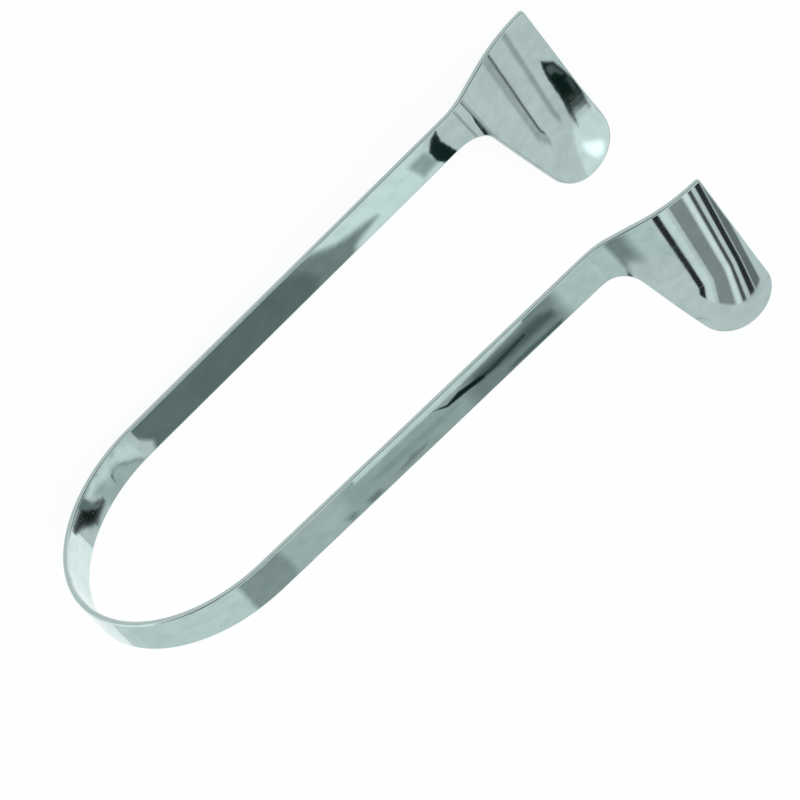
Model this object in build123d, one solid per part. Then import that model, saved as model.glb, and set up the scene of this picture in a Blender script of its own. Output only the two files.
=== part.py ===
from build123d import *
from math import atan, cos, degrees, radians, sin, tan
import os

os.makedirs("parts", exist_ok=True)

# Nasal speculum, all sizes in millimetres.
# One strip of spring steel stands on edge and is bent into a U. Each end is set outward at a neck
# and pressed into a shallow trough with a round tip, the blade. While it is drawn, the bend is at
# X = 0, the arms run along +X and the blades point down, along -Z. At the end it is laid on its
# side, as it comes to rest: on the bend and on the back of the blade that was on the +Y side.

# Strip
strip_width = 5.5
strip_thickness = 0.9
edge_bevel = 0.18

# Spring bend and arms
bend_radius = 21.6
arm_length = 60.4
arm_splay = 0.9

# Neck, where the end of the arm starts to widen and is then set outward
neck_lead = 1.5
neck_radius = 9.5
set_angle = 25.5

# Blade: a flat flange, then a trough that tightens towards the tip and is drawn in there
blade_depth = 26.0
flange_at_root = 5.3
flange_at_tip = 2.4
trough_radius_at_root = 22.0
trough_radius_at_tip = 16.5
draw_in = 1.1
draw_in_start = 15.0

# Outline of the blade, seen square to its trough and measured from the end of the arm
outline_turn = 16.0
near_edge = 1.95
near_edge_lean = 10.2
far_edge = 19.2
far_edge_lean = 5.8
neck_fillet = 4.6
root_corner_radius = 0.5

# Radii of the round tip, as shares of the blade's width at the tip
near_tip_share = 0.5236
far_tip_share = 0.6042

# How far the sheet stands out past the outline that is cut from it, how far the cut reaches
# through the sheet each way, and the number of sections that shape the drawn-in part
cutting_margin = 1.5
cutting_reach = 15.0
draw_in_sections = 5

# The least angle between two faces at a cut edge
sharp_angle = 40

# Rest: the depth that parts the root of the blade's back from its lower end, the distances over
# which the lean and the turn are worked out, and how often they are worked out again
back_parting = 7.5
back_span = 15.0
rest_span = 80.0
levelling_rounds = 10

# Neutral line of the arm on the +Y side
arm_direction = Vector(cos(radians(arm_splay)), sin(radians(arm_splay)))
arm_normal = Vector(-arm_direction.Y, arm_direction.X)
arm_start = Vector(bend_radius, 0) + arm_normal * bend_radius
arm_end = arm_start + arm_direction * arm_length
strip_end = arm_end - arm_direction * neck_lead
flange_direction = Vector(cos(radians(set_angle)), sin(radians(set_angle)))


def between(start, end, share):
    """A size that goes evenly from start to end."""
    return start + (end - start) * share


def spring_side(offset):
    """One face of the bend and both arms, seen from above, at an offset from the neutral line."""
    start = strip_end + arm_normal * offset
    arm = Line(start, arm_start + arm_normal * offset)
    bend = JernArc(arm @ 1, -arm_direction, bend_radius + offset, 180 - 2 * arm_splay)
    return [arm, bend, Line(bend @ 1, (start.X, -start.Y))]


def make_spring():
    """The U bend with both arms, up to the necks."""
    outer = spring_side(strip_thickness / 2)
    inner = spring_side(-strip_thickness / 2)
    ends = [Line(outer[0] @ 0, inner[0] @ 0), Line(outer[-1] @ 1, inner[-1] @ 1)]
    return extrude(make_face(outer + inner + ends), -strip_width)


def blade_side(depth, offset):
    """One face of the sheet at a depth: the lead, the neck's arc, the flange and the trough's arc."""
    share = depth / blade_depth
    flange = between(flange_at_root, flange_at_tip, share)
    trough_radius = between(trough_radius_at_root, trough_radius_at_tip, share)
    drawn_share = max(0, depth - draw_in_start) / (blade_depth - draw_in_start)
    start = strip_end + arm_normal * offset - Vector(0, draw_in * drawn_share**2, depth)
    lead = Line(start, start + arm_direction * neck_lead)
    neck_turn = set_angle - arm_splay
    trough_length = far_edge + cutting_margin - neck_radius * radians(neck_turn) - flange
    neck = JernArc(lead @ 1, arm_direction, neck_radius - offset, neck_turn)
    web = Line(neck @ 1, neck @ 1 + flange_direction * flange)
    trough_turn = degrees(trough_length / trough_radius)
    trough = JernArc(web @ 1, flange_direction, trough_radius + offset, -trough_turn)
    return [lead, neck, web, trough]


def blade_section(depth):
    """The closed outline of the sheet's cross-section at a depth."""
    outer = blade_side(depth, strip_thickness / 2)
    inner = blade_side(depth, -strip_thickness / 2)
    ends = [Line(outer[0] @ 0, inner[0] @ 0), Line(outer[-1] @ 1, inner[-1] @ 1)]
    return make_face(outer + inner + ends)


def blade_outline():
    """The blade's outline, cut square to the trough: across is X, depth is Y."""
    near_lean = tan(radians(near_edge_lean))
    far_lean = tan(radians(far_edge_lean))
    far_tip = far_edge - far_lean * blade_depth
    near_tip = near_edge + near_lean * blade_depth
    tip_width = far_tip - near_tip
    behind = -strip_width
    outline = FilletPolyline(
        (behind, 0),
        (far_edge, 0),
        (far_tip, blade_depth),
        (near_tip, blade_depth),
        (near_edge + near_lean * strip_width, strip_width),
        (behind, strip_width),
        radius=[root_corner_radius, far_tip_share * tip_width, near_tip_share * tip_width, neck_fillet],
    )
    return make_face([outline, Line(outline @ 1, outline @ 0)])


def make_blade():
    """The neck and blade on the +Y side: sections joined into a curved sheet, cut to its outline."""
    straight_part = loft([blade_section(0), blade_section(draw_in_start)], ruled=True)
    step = (blade_depth - draw_in_start) / (draw_in_sections - 1)
    drawn_part = loft([blade_section(draw_in_start + step * i) for i in range(draw_in_sections)])
    sheet = straight_part + drawn_part
    across_trough = Vector(1, 0).rotate(Axis.Z, outline_turn)
    square_to_trough = Plane(arm_end, x_dir=across_trough, z_dir=across_trough.rotate(Axis.Z, 90))
    cutter = extrude(square_to_trough * blade_outline(), cutting_reach, both=True)
    return sheet & cutter


def rim_edges(body):
    """The edges where a face of the sheet turns sharply into its cut edge."""
    rim = []
    for edge in body.edges():
        middle = edge.position_at(0.5)
        beside = [face for face in body.faces() if any(edge.is_same(other) for other in face.edges())]
        if beside[0].normal_at(middle).get_angle(beside[1].normal_at(middle)) > sharp_angle:
            rim.append(edge)
    return rim


def laid(body, lean, turn):
    """A body laid on its +Y side, leaned about X and then turned about Y."""
    return body.rotate(Axis.X, lean - 90).rotate(Axis.Y, turn)


def lowest(body, lean, turn):
    """The lowest height that a body reaches once it is laid."""
    return laid(body, lean, turn).bounding_box().min.Z


def rest_angles(bend, blade):
    """The lean and turn that bring the bend and both ends of the blade's back to one level."""
    root, end = split(blade, Plane.XY.offset(-back_parting), keep=Keep.BOTH).solids().sort_by(Axis.Z)[::-1]
    lean = 0
    turn = 0
    for _ in range(levelling_rounds):
        end_above_root = lowest(end, lean, turn) - lowest(root, lean, turn)
        blade_above_bend = lowest(blade, lean, turn) - lowest(bend, lean, turn)
        lean += degrees(atan(end_above_root / back_span))
        turn += degrees(atan(blade_above_bend / rest_span))
    return lean, turn


spring = make_spring()
blade = make_blade()
speculum = chamfer(rim_edges(spring + blade + mirror(blade, Plane.XZ)), edge_bevel)

lean, turn = rest_angles(spring, blade)
speculum = laid(speculum, lean, turn)
box = speculum.bounding_box()
foot = Vector(box.center().X, box.center().Y, box.min.Z)
speculum = Pos(-foot) * speculum
speculum.label = "speculum"
export_step(speculum, "parts/speculum.step")

print("leaned by", round(lean, 3), "and turned by", round(turn, 3), "degrees, then moved by", -foot)
print("size", speculum.bounding_box().size, "volume", round(speculum.volume, 1), speculum.is_valid)
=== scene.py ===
# %% [markdown]
# # A nasal speculum, bent from one strip of spring steel
#
# The real instrument is made from a flat blank. A strip is cut with two broad lobes at its ends,
# its edges are rounded and polished, the strip is bent into a U, and the lobes are set outward and
# pressed into shallow troughs. This lesson does the same in the same order: it cuts a flat blank,
# rounds its rim, and lets a Geometry Nodes tree bend it. All sizes are in millimetres, as in the
# CAD source, and turn to metres only when the finished piece is laid down.

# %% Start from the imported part
from math import acos, ceil, cos, pi, radians, sin, tan

import bpy
from mathutils import Matrix, Vector
from mathutils.geometry import delaunay_2d_cdt


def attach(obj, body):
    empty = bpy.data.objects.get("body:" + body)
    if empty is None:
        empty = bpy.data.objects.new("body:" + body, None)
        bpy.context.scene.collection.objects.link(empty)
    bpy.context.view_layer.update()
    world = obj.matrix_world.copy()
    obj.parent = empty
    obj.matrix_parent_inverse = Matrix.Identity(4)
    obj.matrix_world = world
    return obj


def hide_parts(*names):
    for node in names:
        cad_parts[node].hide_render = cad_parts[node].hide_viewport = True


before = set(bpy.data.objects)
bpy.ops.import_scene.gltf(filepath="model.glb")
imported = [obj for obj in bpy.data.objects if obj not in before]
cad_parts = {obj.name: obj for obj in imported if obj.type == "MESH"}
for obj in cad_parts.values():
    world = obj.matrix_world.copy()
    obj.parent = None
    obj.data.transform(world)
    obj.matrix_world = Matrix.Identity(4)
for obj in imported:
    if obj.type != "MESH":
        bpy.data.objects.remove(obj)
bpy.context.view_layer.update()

# %% Sizes of the strip, the spring and the blades
sizes = {
    "Bend radius": 21.6,
    "Arm length": 60.4,
    "Arm splay": radians(0.9),
    "Neck radius": 9.5,
    "Set angle": radians(25.5),
    "Flange at root": 5.3,
    "Flange at tip": 2.4,
    "Trough radius at root": 22.0,
    "Trough radius at tip": 16.5,
    "Blade depth": 26.0,
    "Draw in": 1.1,
    "Draw in start": 15.0,
}
strip_width = 5.5
strip_thickness = 0.88
rim_radius = 0.22
print("sizes that bend the blank:", len(sizes))

# %% [markdown]
# ## Shader and geometry maths that read like sums
#
# Node trees are hard to read as lists of links. One small class wraps a socket, so that a sum in
# Python adds the Math nodes for it. The same class serves the tree that bends the steel and the
# tree that polishes it. Plain numbers stay plain: where both sides are numbers, Python works
# the sum out by itself and no node is added.

# %% A socket that can be added, multiplied and compared
class Wire:
    """An output socket of a node tree that takes part in Python expressions."""

    def __init__(self, tree, socket):
        self.tree = tree
        self.socket = socket

    def maths(self, operation, *values):
        return self.tree.node("ShaderNodeMath", {"operation": operation}, values)

    def __add__(self, other): return self.maths("ADD", self, other)
    def __radd__(self, other): return self.maths("ADD", other, self)
    def __sub__(self, other): return self.maths("SUBTRACT", self, other)
    def __rsub__(self, other): return self.maths("SUBTRACT", other, self)
    def __mul__(self, other): return self.maths("MULTIPLY", self, other)
    def __rmul__(self, other): return self.maths("MULTIPLY", other, self)
    def __truediv__(self, other): return self.maths("DIVIDE", self, other)
    def __rtruediv__(self, other): return self.maths("DIVIDE", other, self)
    def __neg__(self): return self.maths("MULTIPLY", self, -1.0)


class Tree:
    """A node tree and the one way in which nodes are added to it."""

    def __init__(self, nodes):
        self.nodes = nodes

    def node(self, kind, settings=None, inputs=(), output=0):
        """Adds a node, makes its settings first, then fills its sockets by order or by name."""
        made = self.nodes.nodes.new(kind)
        for name, value in (settings or {}).items():
            setattr(made, name, value)
        named = inputs.items() if isinstance(inputs, dict) else enumerate(inputs)
        for name, value in named:
            if isinstance(value, Wire):
                self.nodes.links.new(value.socket, made.inputs[name])
            else:
                made.inputs[name].default_value = value
        return Wire(self, made.outputs[output]) if made.outputs else None


def sine(angle):
    return angle.maths("SINE", angle) if isinstance(angle, Wire) else sin(angle)


def cosine(angle):
    return angle.maths("COSINE", angle) if isinstance(angle, Wire) else cos(angle)


def between(value, low, high):
    """The value, held between two limits. Either limit may be a wire."""
    wires = [w for w in (value, low, high) if isinstance(w, Wire)]
    if not wires:
        return min(max(value, low), high)
    above = wires[0].maths("MAXIMUM", value, low)
    return above.maths("MINIMUM", above, high)


print("2 + 3 needs no node:", between(2 + 3, 0, 4))

# %% [markdown]
# ## The line that the steel follows
#
# Seen from above, the middle of the sheet is a chain of arcs and straights: the bend, the arm, the
# neck, the flange and the trough. A point of the blank is given by how far it lies **along** the
# strip from the middle of the bend, and by its **depth** below the straight edge. The flange gets
# shorter and the trough tighter with depth, and past a certain depth the trough is drawn inward.
# The rule is one function. It takes numbers, for cutting the blank, or wires, for bending it.

# %% Where a point of the blank ends up
def sheet_point(along, depth, size):
    """Across and up (X and Y of the drawing) and heading of the sheet on the +Y side."""
    share = depth / size["Blade depth"]
    splay, set_angle = size["Arm splay"], size["Set angle"]
    bend, neck = size["Bend radius"], size["Neck radius"]
    flange = size["Flange at root"] + (size["Flange at tip"] - size["Flange at root"]) * share
    trough = size["Trough radius at root"] + (
        size["Trough radius at tip"] - size["Trough radius at root"]) * share
    bend_length = bend * (pi / 2 - splay)
    neck_length = neck * (set_angle - splay)

    in_bend = between(along, 0.0, bend_length)
    past_bend = along - bend_length
    in_arm = between(past_bend, 0.0, size["Arm length"])
    past_arm = past_bend - size["Arm length"]
    in_neck = between(past_arm, 0.0, neck_length)
    past_neck = past_arm - neck_length
    in_flange = between(past_neck, 0.0, flange)
    in_trough = between(past_neck - flange, 0.0, 1000.0)

    bend_turn = in_bend / bend
    neck_heading = splay + in_neck / neck
    trough_heading = set_angle - in_trough / trough
    x = (bend - bend * cosine(bend_turn) + in_arm * cosine(splay)
         + neck * (sine(neck_heading) - sine(splay)) + in_flange * cosine(set_angle)
         + trough * (sine(set_angle) - sine(trough_heading)))
    y = (bend * sine(bend_turn) + in_arm * sine(splay)
         + neck * (cosine(splay) - cosine(neck_heading)) + in_flange * sine(set_angle)
         + trough * (cosine(trough_heading) - cosine(set_angle)))
    drawn = between(depth - size["Draw in start"], 0.0, 1000.0) / (
        size["Blade depth"] - size["Draw in start"])
    y = y - size["Draw in"] * drawn * drawn
    heading = pi / 2 - bend_turn + in_neck / neck - in_trough / trough
    return x, y, heading


arm_end_along = sizes["Bend radius"] * (pi / 2 - sizes["Arm splay"]) + sizes["Arm length"]
arm_end = sheet_point(arm_end_along, 0.0, sizes)
print("arm ends at X %.2f, Y %.2f, %.1f mm along" % (arm_end[0], arm_end[1], arm_end_along))

# %% [markdown]
# ## The outline of the blank
#
# The outline of a blade is plain when it is seen square to its trough: two leaning edges, a round
# tip and a fillet at the neck. The tool maker draws it there and then finds where each point lies
# on the flat blank. The same is done here: corners are rounded in the drawing, and every point is
# moved along the sheet until it lies under its place in the drawing.

# %% Draw the outline of a blade with round corners
outline_turn = radians(16.0)
near_edge, near_lean = 1.95, tan(radians(10.2))
far_edge, far_lean = 19.2, tan(radians(5.8))
blade_depth = sizes["Blade depth"]
step = 0.5


def rounded(corners, radii):
    """A run of points along straight lines with round corners, about one step apart."""
    runs = [Vector(corners[0])]
    for before, corner, after, radius in zip(corners, corners[1:], corners[2:], radii):
        corner = Vector(corner)
        back, on = (Vector(before) - corner).normalized(), (Vector(after) - corner).normalized()
        half = acos(back.dot(on)) / 2
        middle = corner + (back + on).normalized() * radius / sin(half)
        start = corner + back * radius / tan(half) - middle
        end = corner + on * radius / tan(half) - middle
        turn = pi - 2 * half
        turn = turn if start.x * end.y - start.y * end.x > 0 else -turn
        parts = max(6, ceil(abs(turn) * radius / step))
        for i in range(parts + 1):
            runs.append(middle + Matrix.Rotation(turn * i / parts, 2) @ start)
    runs.append(Vector(corners[-1]))
    points = [runs[0]]
    for start, end in zip(runs, runs[1:]):
        parts = max(1, round((end - start).length / step))
        points += [start.lerp(end, i / parts) for i in range(1, parts + 1)]
    return points


drawing = rounded(
    [(-1.2, 0), (far_edge, 0), (far_edge - far_lean * blade_depth, blade_depth),
     (near_edge + near_lean * blade_depth, blade_depth),
     (near_edge + near_lean * strip_width, strip_width), (-1.2, strip_width)],
    [0.5, 6.0, 5.2, 4.6])
print("points round one blade:", len(drawing))

# %% Find each point on the flat blank
def on_blank(across, depth):
    """How far along the strip the sheet passes under a place in the drawing of the outline."""
    along = arm_end_along + across
    for _ in range(12):
        x, y, heading = sheet_point(along, depth, sizes)
        reached = (x - arm_end[0]) * cos(outline_turn) + (y - arm_end[1]) * sin(outline_turn)
        along += (across - reached) / cos(heading - outline_turn)
    return Vector((along, depth))


lobe = [on_blank(point.x, point.y) for point in drawing]
straight = max(1, round(lobe[0].x / step))
top_run = [Vector((lobe[0].x * i / straight, 0)) for i in range(straight)]
low_run = [Vector((lobe[-1].x * i / straight, strip_width)) for i in range(straight, -1, -1)][1:]
one_side = top_run + lobe + low_run
other_side = [Vector((-p.x, p.y)) for p in reversed(one_side)][1:-1]
outline = one_side + other_side
print("outline of the blank: %d points, %.1f mm long" % (len(outline), 2 * max(p.x for p in lobe)))

# %% [markdown]
# ## A blank with a round, polished rim
#
# Polished steel shows every flaw of a mesh, so the blank is made with care. Its rim is a set of
# rings, each a little further out and lower than the last. The two faces are filled with an even
# field of points. Each point also keeps the exact direction that the steel faces there. Reflections
# then follow the true sheet and not the small triangles.

# %% Cut the blank and round its rim
def outward(ring):
    """The outward direction of the ring at each of its points."""
    arrows = []
    for before, after in zip(ring[-1:] + ring[:-1], ring[1:] + ring[:1]):
        run = (after - before).normalized()
        arrows.append(Vector((-run.y, run.x)))
    return arrows


turning = sum(a.x * b.y - a.y * b.x for a, b in zip(outline, outline[1:] + outline[:1]))
if turning > 0:
    outline.reverse()
arrows = outward(outline)
arc_parts = 4
profile = []
for i in range(arc_parts + 1):
    lift = pi / 2 * (1 - i / arc_parts)
    height = strip_thickness / 2 - rim_radius + rim_radius * sin(lift)
    profile.append((rim_radius * (1 - cos(lift)), height, lift))
profile += [(inset, -height, -lift) for inset, height, lift in reversed(profile)]

places, facings, faces = [], [], []
count = len(outline)
for inset, height, lift in profile:
    for point, arrow in zip(outline, arrows):
        place = point - arrow * inset
        places.append((place.x, place.y, height))
        facings.append((arrow.x * cos(lift), arrow.y * cos(lift), sin(lift)))
for ring in range(len(profile) - 1):
    for i in range(count):
        a, b = ring * count + i, ring * count + (i + 1) % count
        faces.append((a, b, b + count, a + count))
print("rim: %d rings of %d points" % (len(profile), count))

# %% Fill its two faces
inner_ring = [point - arrow * rim_radius for point, arrow in zip(outline, arrows)]


def inside(place, ring, gap):
    """True where a place lies inside the ring and further than the gap from it."""
    crossings = False
    for a, b in zip(ring, ring[1:] + ring[:1]):
        if (a.y > place.y) != (b.y > place.y):
            if place.x < a.x + (b.x - a.x) * (place.y - a.y) / (b.y - a.y):
                crossings = not crossings
        if abs(a.x - place.x) < gap and abs(a.y - place.y) < gap:
            return False
    return crossings


field = []
rows = round(blade_depth / step)
columns = round(max(p.x for p in inner_ring) / step)
lobe_ring = [p for p in inner_ring if p.x > arm_end_along - 6]
for row in range(1, rows):
    for column in range(columns + 1):
        place = Vector((column * step, row * step))
        if place.x < arm_end_along - 2:
            good = rim_radius + 0.3 < place.y < strip_width - rim_radius - 0.3
        else:
            good = inside(place, lobe_ring + [Vector((arm_end_along - 6, 3))], 0.3)
        if good:
            field.append(place)
            if column:
                field.append(Vector((-place.x, place.y)))
flat, _, triangles, origins, _, _ = delaunay_2d_cdt(
    inner_ring + field, [], [list(range(count))], 1, 1e-5)
top_of = {}
low_of = {}
for number, (place, origin) in enumerate(zip(flat, origins)):
    if origin and origin[0] < count:
        top_of[number] = origin[0]
        low_of[number] = (len(profile) - 1) * count + origin[0]
    else:
        for table, side in ((top_of, 1), (low_of, -1)):
            table[number] = len(places)
            places.append((place.x, place.y, side * strip_thickness / 2))
            facings.append((0.0, 0.0, float(side)))
for triangle in triangles:
    faces.append([top_of[i] for i in triangle])
    faces.append([low_of[i] for i in reversed(triangle)])
print("blank: %d points, %d faces" % (len(places), len(faces)))

# %% Make the blank a mesh that remembers where each point lay
blank = bpy.data.meshes.new("blank")
blank.from_pydata(places, [], faces)
for name, values in (("blank_place", places), ("blank_facing", facings)):
    kept = blank.attributes.new(name, "FLOAT_VECTOR", "POINT")
    kept.data.foreach_set("vector", [v for value in values for v in value])
top_face = blank.polygons[len(faces) - 2]
print("top face looks up:", top_face.normal.z > 0)
strip = bpy.data.objects.new("speculum_strip", blank)
bpy.context.collection.objects.link(strip)

# %% [markdown]
# ## Bending the blank with Geometry Nodes
#
# A press and a bending jig give the steel its shape. Here a node tree does it, because the shape
# follows the rule above and every size stays a named input that can be turned by hand. The tree
# reads the place of each point on the blank, works out the middle of the sheet there, and moves the
# point out along the sheet's own direction by its height in the thickness. Comparing the sheet a
# little above and a little below tells how it leans, and so which way it really faces.

# %% Build the tree that bends the blank
bending = bpy.data.node_groups.new("bend_the_blank", "GeometryNodeTree")
bending.interface.new_socket("Blank", in_out="INPUT", socket_type="NodeSocketGeometry")
bending.interface.new_socket("Strip", in_out="OUTPUT", socket_type="NodeSocketGeometry")
for name in sizes:
    bending.interface.new_socket(name, in_out="INPUT", socket_type="NodeSocketFloat")
bending.interface.new_socket("Material", in_out="INPUT", socket_type="NodeSocketMaterial")
tree = Tree(bending)
group_input = bending.nodes.new("NodeGroupInput")
size_wires = {name: Wire(tree, group_input.outputs[name]) for name in sizes}


def split_vector(tree, vector):
    """The three numbers of a vector as wires."""
    parts = tree.node("ShaderNodeSeparateXYZ", {}, [vector])
    return [Wire(tree, socket) for socket in parts.socket.node.outputs]


def joined_vector(tree, *numbers):
    return tree.node("ShaderNodeCombineXYZ", {}, numbers)


def vector_maths(tree, operation, *values):
    return tree.node("ShaderNodeVectorMath", {"operation": operation}, values)


place = tree.node("GeometryNodeInputPosition")
along, depth, height = split_vector(tree, place)
distance = along.maths("ABSOLUTE", along)
side = along.maths("SIGN", along + 1e-4)
x, y, heading = sheet_point(distance, depth, size_wires)
probe = 0.4
x_above, y_above, _ = sheet_point(distance, depth - probe, size_wires)
x_below, y_below, _ = sheet_point(distance, depth + probe, size_wires)
run_x, run_y = cosine(heading), sine(heading)
lean = ((y_below - y_above) * run_x - (x_below - x_above) * run_y) / (2 * probe)
print("nodes in the bending tree:", len(bending.nodes))

# %% Move each point, keep where the steel faces, and finish the tree
middle = joined_vector(tree, x, side * y, -depth)
out = joined_vector(tree, -run_y, side * run_x, 0.0)
facing_out = vector_maths(tree, "NORMALIZE", joined_vector(tree, -run_y, side * run_x, lean))
run = joined_vector(tree, side * run_x, run_y, 0.0)
down = vector_maths(tree, "CROSS_PRODUCT", facing_out, run)
moved = tree.node("ShaderNodeVectorMath", {"operation": "MULTIPLY_ADD"},
                  [out, joined_vector(tree, height, height, height), middle])
held_facing = tree.node("GeometryNodeInputNamedAttribute", {"data_type": "FLOAT_VECTOR"},
                        {"Name": "blank_facing"})
facing_along, facing_down, facing_up = split_vector(tree, held_facing)
true_facing = joined_vector(tree, 0.0, 0.0, 0.0)
for direction, amount in ((run, facing_along), (down, facing_down), (facing_out, facing_up)):
    spread = joined_vector(tree, amount, amount, amount)
    true_facing = tree.node("ShaderNodeVectorMath", {"operation": "MULTIPLY_ADD"},
                            [direction, spread, true_facing])
stored = tree.node("GeometryNodeStoreNamedAttribute",
                   {"data_type": "FLOAT_VECTOR", "domain": "POINT"},
                   {"Geometry": Wire(tree, group_input.outputs["Blank"]),
                    "Name": "true_facing", "Value": true_facing})
bent = tree.node("GeometryNodeSetPosition", {}, {"Geometry": stored, "Position": moved})
realized = tree.node("GeometryNodeRealizeInstances", {}, [bent])
painted = tree.node("GeometryNodeSetMaterial", {},
                    {"Geometry": realized, "Material": Wire(tree, group_input.outputs["Material"])})
group_output = bending.nodes.new("NodeGroupOutput")
bending.links.new(painted.socket, group_output.inputs["Strip"])
print("nodes once it is finished:", len(bending.nodes))

# %% [markdown]
# ## Polished spring steel
#
# The finish is a mirror polish from a buffing wheel, with a cool green cast. A buffed strip isn't a
# perfect mirror: long, low waves stay from the rolling and bending, fine lines run along the strip
# where the wheel passed, and handling leaves hairline scratches and faint hazy spots. The waves and
# lines are bumps, the haze is roughness, and both follow the strip through its bends, because they
# read the place that each point had on the flat blank.

# %% Mix the finish from waves, buffing lines, scratches and haze
steel = bpy.data.materials.new("polished_steel")
steel.use_nodes = True
steel.node_tree.nodes.clear()
polish = Tree(steel.node_tree)


def noise(tree, place, stretch, size, detail=2.0, shift=0.0):
    """Soft noise from 0 to 1 with patches about so many millimetres in size, stretched by axis."""
    scaled = tree.node("ShaderNodeMapping", {"vector_type": "POINT"},
                       {"Vector": place, "Location": (shift, shift, shift), "Scale": stretch})
    return tree.node("ShaderNodeTexNoise", {"noise_dimensions": "3D"},
                     {"Vector": scaled, "Scale": 1.0 / size, "Detail": detail})


blank_place = polish.node("ShaderNodeAttribute", {"attribute_name": "blank_place"}, output=1)
waves = noise(polish, blank_place, (1.0, 0.55, 1.0), 17.0, 1.0)
ripples = noise(polish, blank_place, (0.6, 1.0, 1.0), 3.5, 2.0, 13.0)
buffing = noise(polish, blank_place, (0.035, 3.2, 3.2), 1.0, 3.0)
scratches = noise(polish, blank_place, (0.10, 9.0, 9.0), 1.0, 2.0, 31.0)
haze = noise(polish, blank_place, (0.7, 1.0, 1.0), 6.0, 3.0, 7.0)
mottle = noise(polish, blank_place, (0.7, 1.0, 1.0), 1.6, 4.0, 19.0)
_, _, height_in_sheet = split_vector(polish, blank_place)
hairline = between((scratches - 0.68) * 9.0, 0.0, 1.0)
hazy = between((haze - 0.45) * 3.0, 0.0, 1.0)
mottled = between((mottle - 0.35) * 3.0, 0.0, 1.0)
# edge is 1 on the middle of the rim: there the steel is rougher, and further down its colour is darkened
# as painted shade
edge = between((0.36 - height_in_sheet.maths("ABSOLUTE", height_in_sheet)) * 8.0, 0.0, 1.0)
roughness = 0.035 + 0.025 * hazy + 0.02 * buffing + 0.08 * hairline + 0.16 * edge
print("finish: six patterns on the blank's own millimetres")

# %% Put the finish together
cool = (0.69, 0.84, 0.825, 1.0)
dull = (0.51, 0.64, 0.63, 1.0)
# A much darker colour for the rim: painted shade that draws a dark outline along the edges of the strip
painted_rim_shade = (0.36, 0.45, 0.44, 1.0)
worn = between(0.35 * hazy + 0.3 * hairline + 0.45 * mottled, 0.0, 1.0)
face_color = polish.node("ShaderNodeMix", {"data_type": "RGBA"},
                         {"Factor": worn, "A": cool, "B": dull}, output=2)
# On the rim the face colour turns into the darker rim colour, a painted shade for the dark outline
color = polish.node("ShaderNodeMix", {"data_type": "RGBA"},
                    {"Factor": 0.8 * edge, "A": face_color, "B": painted_rim_shade}, output=2)
surface_height = waves * 0.03 + ripples * 0.003 + buffing * 0.0004 + hairline * -0.0005
bump = polish.node("ShaderNodeBump", {}, {"Strength": 1.0, "Distance": 0.001,
                                          "Height": surface_height})
shader = polish.node("ShaderNodeBsdfPrincipled", {},
                     {"Base Color": color, "Metallic": 1.0, "Roughness": roughness,
                      "Normal": bump})
polish.node("ShaderNodeOutputMaterial", {}, {"Surface": shader})
print("finish made:", steel.name)

# %% Bend the blank
modifier = strip.modifiers.new("bend", "NODES")
modifier.node_group = bending
for item in bending.interface.items_tree:
    if item.in_out == "INPUT" and item.name in sizes:
        modifier[item.identifier] = sizes[item.name]
    if item.in_out == "INPUT" and item.name == "Material":
        modifier[item.identifier] = steel
evaluated = strip.evaluated_get(bpy.context.evaluated_depsgraph_get())
bent_mesh = bpy.data.meshes.new_from_object(evaluated)
strip.modifiers.remove(modifier)
strip.data = bent_mesh
print("bent strip: %d points" % len(bent_mesh.vertices))

# %% [markdown]
# ## Laying it down
#
# Nothing holds the instrument up, so it lies on its side, on the bend and on the back of one blade.
# The CAD source found the small lean and turn of this rest. The same turns bring the bent strip
# there, and its exact facing directions are set last, once nothing moves any more.

# %% Lay the strip on its side
rest_lean, rest_turn = radians(3.123), radians(-4.376)
rest = Matrix.Rotation(rest_turn, 4, "Y") @ Matrix.Rotation(rest_lean - pi / 2, 4, "X")
foot = Vector((50.7145, -12.8995, -20.6682))
bent_mesh.transform(Matrix.Scale(0.001, 4) @ Matrix.Translation(-foot) @ rest)
directions = [0.0] * (3 * len(bent_mesh.vertices))
bent_mesh.attributes["true_facing"].data.foreach_get("vector", directions)
directions = [rest.to_3x3() @ Vector(directions[i:i + 3]) for i in range(0, len(directions), 3)]
for polygon in bent_mesh.polygons:
    polygon.use_smooth = True
bent_mesh.normals_split_custom_set_from_vertices([d.normalized() for d in directions])
for spare in ("true_facing", "blank_facing"):
    bent_mesh.attributes.remove(bent_mesh.attributes[spare])
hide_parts("speculum")
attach(strip, "root")
low = [min(v.co[i] for v in bent_mesh.vertices) * 1000 for i in range(3)]
high = [max(v.co[i] for v in bent_mesh.vertices) * 1000 for i in range(3)]
print("strip lies from", [round(v, 2) for v in low], "to", [round(v, 2) for v in high], "mm")

# %% [markdown]
# ## The studio
#
# The instrument lies on a plain white floor that shows no horizon. The camera looks down on it
# from far away through a long lens, as in the photograph, so that parallel edges stay parallel.

# %% Lay out the floor
def sheet_of(name, corners):
    """A flat four-cornered sheet."""
    mesh = bpy.data.meshes.new(name)
    mesh.from_pydata(corners, [], [tuple(range(len(corners)))])
    made = bpy.data.objects.new(name, mesh)
    bpy.context.collection.objects.link(made)
    return made


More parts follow.
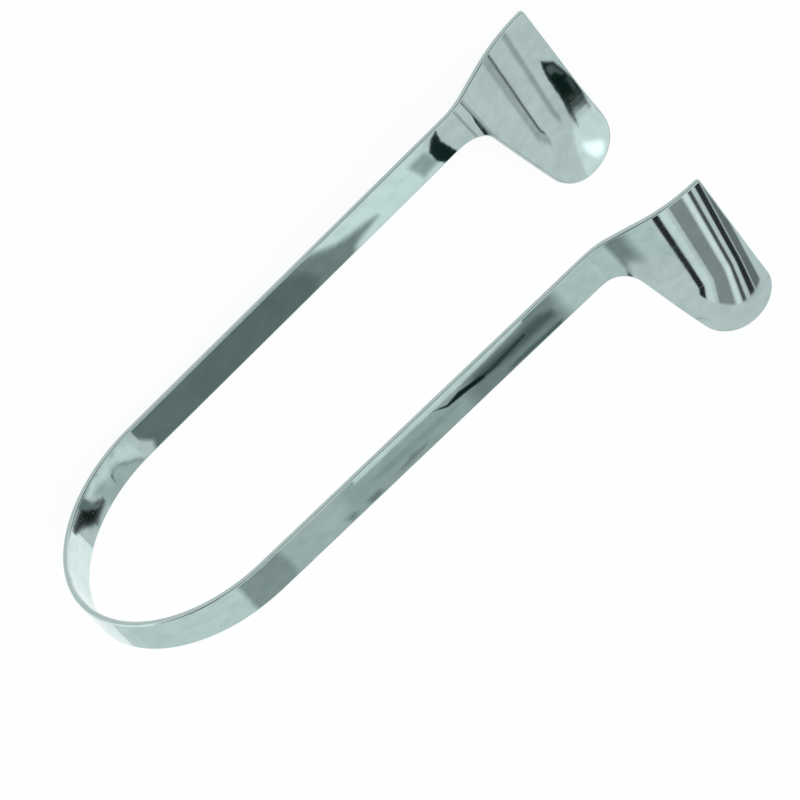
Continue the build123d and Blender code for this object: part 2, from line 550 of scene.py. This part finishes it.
reach = 3.0
paper_glow = 1.045
floor = sheet_of("floor", [(-reach, -reach, 0), (reach, -reach, 0), (reach, reach, 0),
                           (-reach, reach, 0)])
paper = bpy.data.materials.new("white_paper")
paper.use_nodes = True
paper.node_tree.nodes.clear()
backdrop = Tree(paper.node_tree)
rays = backdrop.node("ShaderNodeLightPath")
ray_wires = {socket.name: Wire(backdrop, socket) for socket in rays.socket.node.outputs}
matt = backdrop.node("ShaderNodeBsdfDiffuse", {}, {"Color": (0.9, 0.9, 0.9, 1.0)})
white = backdrop.node("ShaderNodeEmission", {}, {"Color": (1, 1, 1, 1), "Strength": paper_glow})
shown = between(ray_wires["Is Camera Ray"] + ray_wires["Is Glossy Ray"]
                + ray_wires["Is Transmission Ray"], 0.0, 1.0)
mixed = backdrop.node("ShaderNodeMixShader", {}, [shown * 0.85, matt, white])
backdrop.node("ShaderNodeOutputMaterial", {}, {"Surface": mixed})
floor.data.materials.append(paper)
print("floor laid, %d m across" % (2 * reach))

# %% [markdown]
# ## What the steel mirrors
#
# Bright steel has hardly any colour of its own: it shows the room. The photographer had a white
# ceiling over the table, pale walls, and dark gaps between them. The same room is made as a sky
# that only mirrored rays see. Each pane of it is a window of compass direction and height, and
# both faces of a blade sweep across these panes as they curve. Paper and air get an even, plain
# light, so the floor stays white and the shadow soft.

# %% Panes of the room: name, direction from, to, height from, to, edge softness, brightness
panes = [
    ("ceiling", -180, 180, 62, 91, 3.0, 0.84),
    ("first black line", -130.8, -127.4, 28.5, 47, 0.6, 0.02),
    ("light gap", -126.6, -122.6, 28.5, 46, 0.8, 0.80),
    ("grey wall", -120, -109, 29, 46, 1.0, 0.29),
    ("light line", -107.6, -104.4, 29, 46, 0.8, 0.88),
    ("second line", -103.3, -100.2, 29, 46, 0.6, 0.09),
    ("third line", -96.6, -92.0, 29, 46, 0.7, 0.03),
    ("far shade", -91.2, -85.5, 29, 46, 0.8, 0.18),
    ("fold line", -51.0, -49.6, 29, 41, 0.5, 0.10),
    ("flange shade", -49.5, -46, 32, 43, 1.5, 0.46),
    ("grey column", -68, -63, 44, 55, 2.5, 0.42),
    ("foot of the far wall", -128, -60, -2, 9, 2.0, 0.05),
    ("dark room behind the camera", 15, 165, -2, 40, 6.0, 0.04),
]
world = bpy.data.worlds.new("studio")
bpy.context.scene.world = world
world.use_nodes = True
world.node_tree.nodes.clear()
sky = Tree(world.node_tree)
direction = sky.node("ShaderNodeTexCoord", {}, {}, output=0)
east, north, zenith = split_vector(sky, direction)
compass = north.maths("ARCTAN2", north, east) * (180 / pi)
elevation = zenith.maths("ARCSINE", zenith) * (180 / pi)


def pane_mask(value, low, high, soft):
    """1 between the two limits and 0 outside, with soft edges."""
    rising = between((value - low) / soft + 0.5, 0.0, 1.0)
    falling = between((high - value) / soft + 0.5, 0.0, 1.0)
    return rising * falling


walls = 0.66
plain_light = 0.8
room = walls
for name, left, right_end, bottom, top, soft, level in panes:
    mask = pane_mask(compass, left, right_end, soft) * pane_mask(elevation, bottom, top, soft)
    room = room + (level - room) * mask
sky_rays = sky.node("ShaderNodeLightPath")
mirrored = Wire(sky, sky_rays.socket.node.outputs["Is Glossy Ray"])
seen = Wire(sky, sky_rays.socket.node.outputs["Is Camera Ray"])
strength = room * mirrored + seen + (1 - between(mirrored + seen, 0.0, 1.0)) * plain_light
glow = sky.node("ShaderNodeBackground", {}, {"Color": (0.97, 1.0, 1.0, 1.0), "Strength": strength})
sky.node("ShaderNodeOutputWorld", {}, {"Surface": glow})
print("panes in the room:", len(panes))

# %% Set up the camera as in the photograph
view_right = Vector((0.7178, -0.4254, -0.5512))
view_up = Vector((0.6961, 0.4202, 0.5822))
looked_at = Vector((50.33, -13.2, -2.75))
view_width = 108.84
camera_distance = 4.0

turned = rest.to_3x3()
right = (turned @ view_right).normalized()
back = right.cross(turned @ view_up).normalized()
up = back.cross(right)
target = (turned @ looked_at - foot) / 1000
lens = bpy.data.cameras.new("camera")
lens.sensor_width = 36.0
lens.lens = 36.0 * camera_distance / (view_width / 1000)
lens.clip_end = 20.0
camera = bpy.data.objects.new("camera", lens)
bpy.context.collection.objects.link(camera)
axes = Matrix((right, up, back)).transposed().to_4x4()
camera.matrix_world = Matrix.Translation(target + back * camera_distance) @ axes
bpy.context.scene.camera = camera
bpy.context.scene.view_settings.view_transform = "Standard"
print("camera looks down by %.1f degrees" % (90 - acos(back.z) * 180 / pi))

# %% [markdown]
# ## Flags: what stands close to the steel
#
# A flat arm mirrors one single direction, so a distant room can only give it one tone. The long
# patches on the arms come from things that stand nearer. A photographer calls these flags: cards
# hung in the room, which are no part of the work. Each flag here is drawn on the blank, where it is
# to be seen, and every point of it is then carried off along the mirrored line of sight from there.
# Side 1 is the arm that lies below, and side -1 the one above it. Only mirrored rays see a flag, so
# it throws no shadow and stays out of the picture.

# %% Which way the steel faces, and where it sends the line of sight
def placed(along, depth, side):
    """A place on the middle of the sheet of the finished piece, in millimetres."""
    if along < 0:
        along, side = -along, -side
    x, y, _ = sheet_point(along, depth, sizes)
    return turned @ Vector((x, side * y, -depth)) - foot


def mirrored_place(along, depth, side, away):
    """The place, so far away, that the camera sees in the steel at a place on the blank."""
    nudge = 0.05
    run = placed(along + nudge, depth, side) - placed(along - nudge, depth, side)
    drop = placed(along, depth + nudge, side) - placed(along, depth - nudge, side)
    facing = run.cross(drop).normalized()
    if facing.dot(back) < 0:
        facing = -facing
    mirrored = 2 * back.dot(facing) * facing - back
    return placed(along, depth, side) + facing * strip_thickness / 2 + mirrored * away


print("seen in an arm:", [round(v, 1) for v in mirrored_place(60, 2, 1, 50)])

# %% Name the flags: side, distance, brightness, softness of the edge, corners on the blank
arm_flags = [
    ("slate", 1, 12, 0.175, 1.2, [(36.5, -3), (60, -3), (66, 1), (68, 4), (64, 8), (36.5, 8)]),
    ("slate_start", 1, 11.6, 0.19, 0.7,
     [(32.5, -1), (33, 2), (34.5, 4), (33.5, 6.5), (44, 8.5), (44, -3)]),
    ("slate_end", 1, 12.6, 0.26, 1.0,
     [(54, -3), (67, -1), (72, 1.5), (79, 3), (79, 4), (74, 5), (71, 8.5), (54, 8.5)]),
    ("arm_light", 1, 13.4, 0.84, 1.4, [(64, -4), (91, -4), (91, 10), (64, 10)]),
    ("arm_spot", 1, 11.4, 0.42, 0.8, [(85.5, 1), (89.5, 1), (90.5, 4.5), (86.5, 5)]),
    ("neck_black", 1, 11, 0.02, 0.12,
     [(92.5, 0), (92, 2), (93, 6.5), (91, 6.5), (89.5, 4), (89.5, 2), (91, 0.5)]),
    ("bend_outside", -1, 42, 0.72, 2.0, [(-3, -4), (31, -4), (31, 10), (-3, 10)]),
    ("bend_step", -1, 15, 0.34, 0.9, [(28.5, -3), (28.5, 8.5), (36, 8.5), (37, 4), (36.5, -3)]),
    ("arm_start", -1, 15.5, 0.52, 2.2, [(31, -4), (50, -4), (47, 10), (31, 10)]),
    ("arm_middle", -1, 16.5, 0.43, 2.5, [(42, -4), (75, -4), (75, 10), (42, 10)]),
    ("arm_streak", -1, 15, 0.36, 0.6, [(49, 2), (58, 2), (67, 2.5), (70, 3.5), (62, 4), (54, 3.5)]),
    ("upper_strip", -1, 14, 0.76, 0.3, [(50, -1), (82, -1), (82, 0.7), (70, 1.2), (50, 1)]),
    ("teal_foot", -1, 16, 0.27, 2.2, [(68, -4), (89, -4), (88, 10), (69, 10)]),
    ("arm_finish", -1, 17, 0.62, 1.0, [(82, -3), (95, -3), (94, 9), (82, 9)]),
    ("streak", -1, 13, 0.015, 0.0,
     [(64.5, 1), (66.7, 1.9), (69, 1.6), (74, 2.5), (73, 3), (70.5, 2.7), (66.5, 2.3)]),
    ("teal", -1, 14.5, 0.12, 1.0,
     [(70.5, 2), (72, 1), (84, 1), (86.5, 2), (86.5, 4), (78, 4), (71.5, 3.3)]),
    ("teal_line", -1, 13, 0.05, 0.0, [(73, 2.4), (81, 2.1), (81, 2.5), (75.5, 3.1), (73, 2.9)]),
    ("low_line", -1, 14, 0.11, 0.3, [(74.5, 5), (78, 4.4), (87, 4.7), (85.5, 5.5), (78, 5.3)]),
    ("low_dark", -1, 14, 0.15, 0.8, [(54.5, 4.5), (58.5, 3.7), (62.5, 4), (60.5, 5), (55.5, 5)]),
    ("low_spot", -1, 14, 0.17, 0.9, [(49, 4), (52, 4), (53.5, 5.5), (50, 5.7)]),
    ("low_spot_2", -1, 14, 0.22, 0.9, [(45, 4), (47.5, 3.7), (48.7, 5), (46.5, 5.7)]),
    ("bend_black", 1, 88, 0.003, 0.12,
     [(22, 0), (22, 1.5), (24.5, 3), (24, 4), (20.5, 4.5), (18.5, 2.5), (16, 1), (16, 0)]),
    ("bend_line", 1, 86, 0.12, 0.0,
     [(32.5, 4.5), (29.3, 1.7), (28.2, 1.4), (27.3, 2), (27, 3.8), (27.7, 2.2), (28.3, 1.8),
      (29.2, 2.1), (32.2, 4.7)]),
    ("bend_light", 1, 94, 0.80, 0.4,
     [(20, -1), (26, -0.5), (32.5, 0.3), (33, 4.5), (31, 3), (28.2, 1.2), (27, 2), (22.3, 1)]),
    ("bend_grey", 1, 100, 0.50, 0.6,
     [(23.3, 3.3), (24.5, 1.2), (29, 1.5), (34, 5.7), (32, 8), (28.7, 6.6), (24.5, 6.2)]),
    ("bend_mottle", 1, 90, 0.42, 0.5, [(23.2, 1), (25, 1), (26.4, 1.5), (26, 2.7), (23.4, 2.2)]),
]
blade_flags = [
    ("black_patch", 1, 24, 0.012, 0.12,
     [(12, 7.3), (13.5, 9), (14, 14), (13.5, 17.5), (12.8, 16), (11, 16), (9.8, 19.4), (10.3, 15),
      (11, 10), (11.4, 8.6)]),
    ("swirl", 1, 23, 0.12, 0.25,
     [(12, 8.6), (13, 9), (13.4, 11.6), (12.8, 11.6), (12.4, 10.5), (11.6, 10.4), (11.6, 9.3)]),
    ("small_swirl", 1, 23, 0.07, 0.2,
     [(13.5, 12.2), (13.6, 13.6), (13.2, 14.8), (12.5, 14.7), (12.8, 12.3)]),
    ("highlight", 1, 22, 1.5, 0.7, [(8.7, 21), (10.7, 23), (11.2, 24), (9.5, 25.4), (8.2, 25), (7.5, 22)]),
]
blade_start = arm_end_along + sizes["Neck radius"] * (sizes["Set angle"] - sizes["Arm splay"])
print("flags for the bend and arms %d, for the blades %d" % (len(arm_flags), len(blade_flags)))

# %% Make the card that the flags are cut from
flag_card = bpy.data.materials.new("flag_card")
flag_card.use_nodes = True
flag_card.cycles.emission_sampling = "NONE"
flag_card.node_tree.nodes.clear()
card = Tree(flag_card.node_tree)
tone = card.node("ShaderNodeAttribute", {"attribute_name": "tone"}, output=0)
cover = card.node("ShaderNodeAttribute", {"attribute_name": "cover"}, output=2)
lit = card.node("ShaderNodeEmission", {}, {"Color": tone, "Strength": 1.0})
clear = card.node("ShaderNodeBsdfTransparent")
card.node("ShaderNodeOutputMaterial", {},
          {"Surface": card.node("ShaderNodeMixShader", {}, [cover, clear, lit])})


def card_tone(brightness):
    """A pale card is nearly white, and a dark one keeps a green cast."""
    red = brightness / (brightness + 0.03)
    return (0.97 * red * brightness, brightness, (0.75 + 0.25 * red) * brightness)


def gap_to_rim(spot, rim):
    """How far a spot lies from the rim."""
    gaps = []
    for start, end in zip(rim, rim[1:] + rim[:1]):
        run = end - start
        share = between((spot - start).dot(run) / run.length_squared, 0.0, 1.0)
        gaps.append((spot - start - run * share).length)
    return min(gaps)


print("a dark card is", [round(v, 3) for v in card_tone(0.05)])

# %% Hang the flags
def hang_flag(name, side, away, brightness, soft, corners):
    """A card seen in the steel at these corners of the blank, hung so far away from it."""
    corners = [Vector(corner) for corner in corners]
    rim_step = 0.8
    spacing = max(0.25, 0.5 * soft)
    rim = []
    for start, end in zip(corners, corners[1:] + corners[:1]):
        parts = ceil((end - start).length / rim_step)
        rim += [start.lerp(end, i / parts) for i in range(parts)]
    low = Vector((min(p.x for p in rim), min(p.y for p in rim)))
    high = Vector((max(p.x for p in rim), max(p.y for p in rim)))
    field = [low + Vector((i, j)) * spacing
             for i in range(ceil((high.x - low.x) / spacing))
             for j in range(ceil((high.y - low.y) / spacing))]
    field = [spot for spot in field
             if inside(spot, rim, 0.0) and gap_to_rim(spot, rim) > 0.3 * spacing]
    flat, _, pieces, _, _, _ = delaunay_2d_cdt(rim + field, [], [list(range(len(rim)))], 1, 1e-5)
    mesh = bpy.data.meshes.new(name)
    mesh.from_pydata([mirrored_place(p.x, p.y, side, away) / 1000 for p in flat], [], pieces)
    covered = [min(1.0, gap_to_rim(spot, corners) / soft) if soft else 1.0 for spot in flat]
    mesh.attributes.new("cover", "FLOAT", "POINT").data.foreach_set("value", covered)
    tones = list(card_tone(brightness)) * len(flat)
    mesh.attributes.new("tone", "FLOAT_VECTOR", "POINT").data.foreach_set("vector", tones)
    mesh.materials.append(flag_card)
    flag = bpy.data.objects.new("flag_" + name, mesh)
    bpy.context.collection.objects.link(flag)
    flag.visible_camera = False
    flag.visible_diffuse = False
    flag.visible_transmission = False
    flag.visible_shadow = False


for flags, start_along in ((arm_flags, 0.0), (blade_flags, blade_start)):
    for name, side, away, brightness, soft, corners in flags:
        corners = [(start_along + along, depth) for along, depth in corners]
        hang_flag(name, side, away, brightness, soft, corners)
print("flags hung:", len(arm_flags) + len(blade_flags))
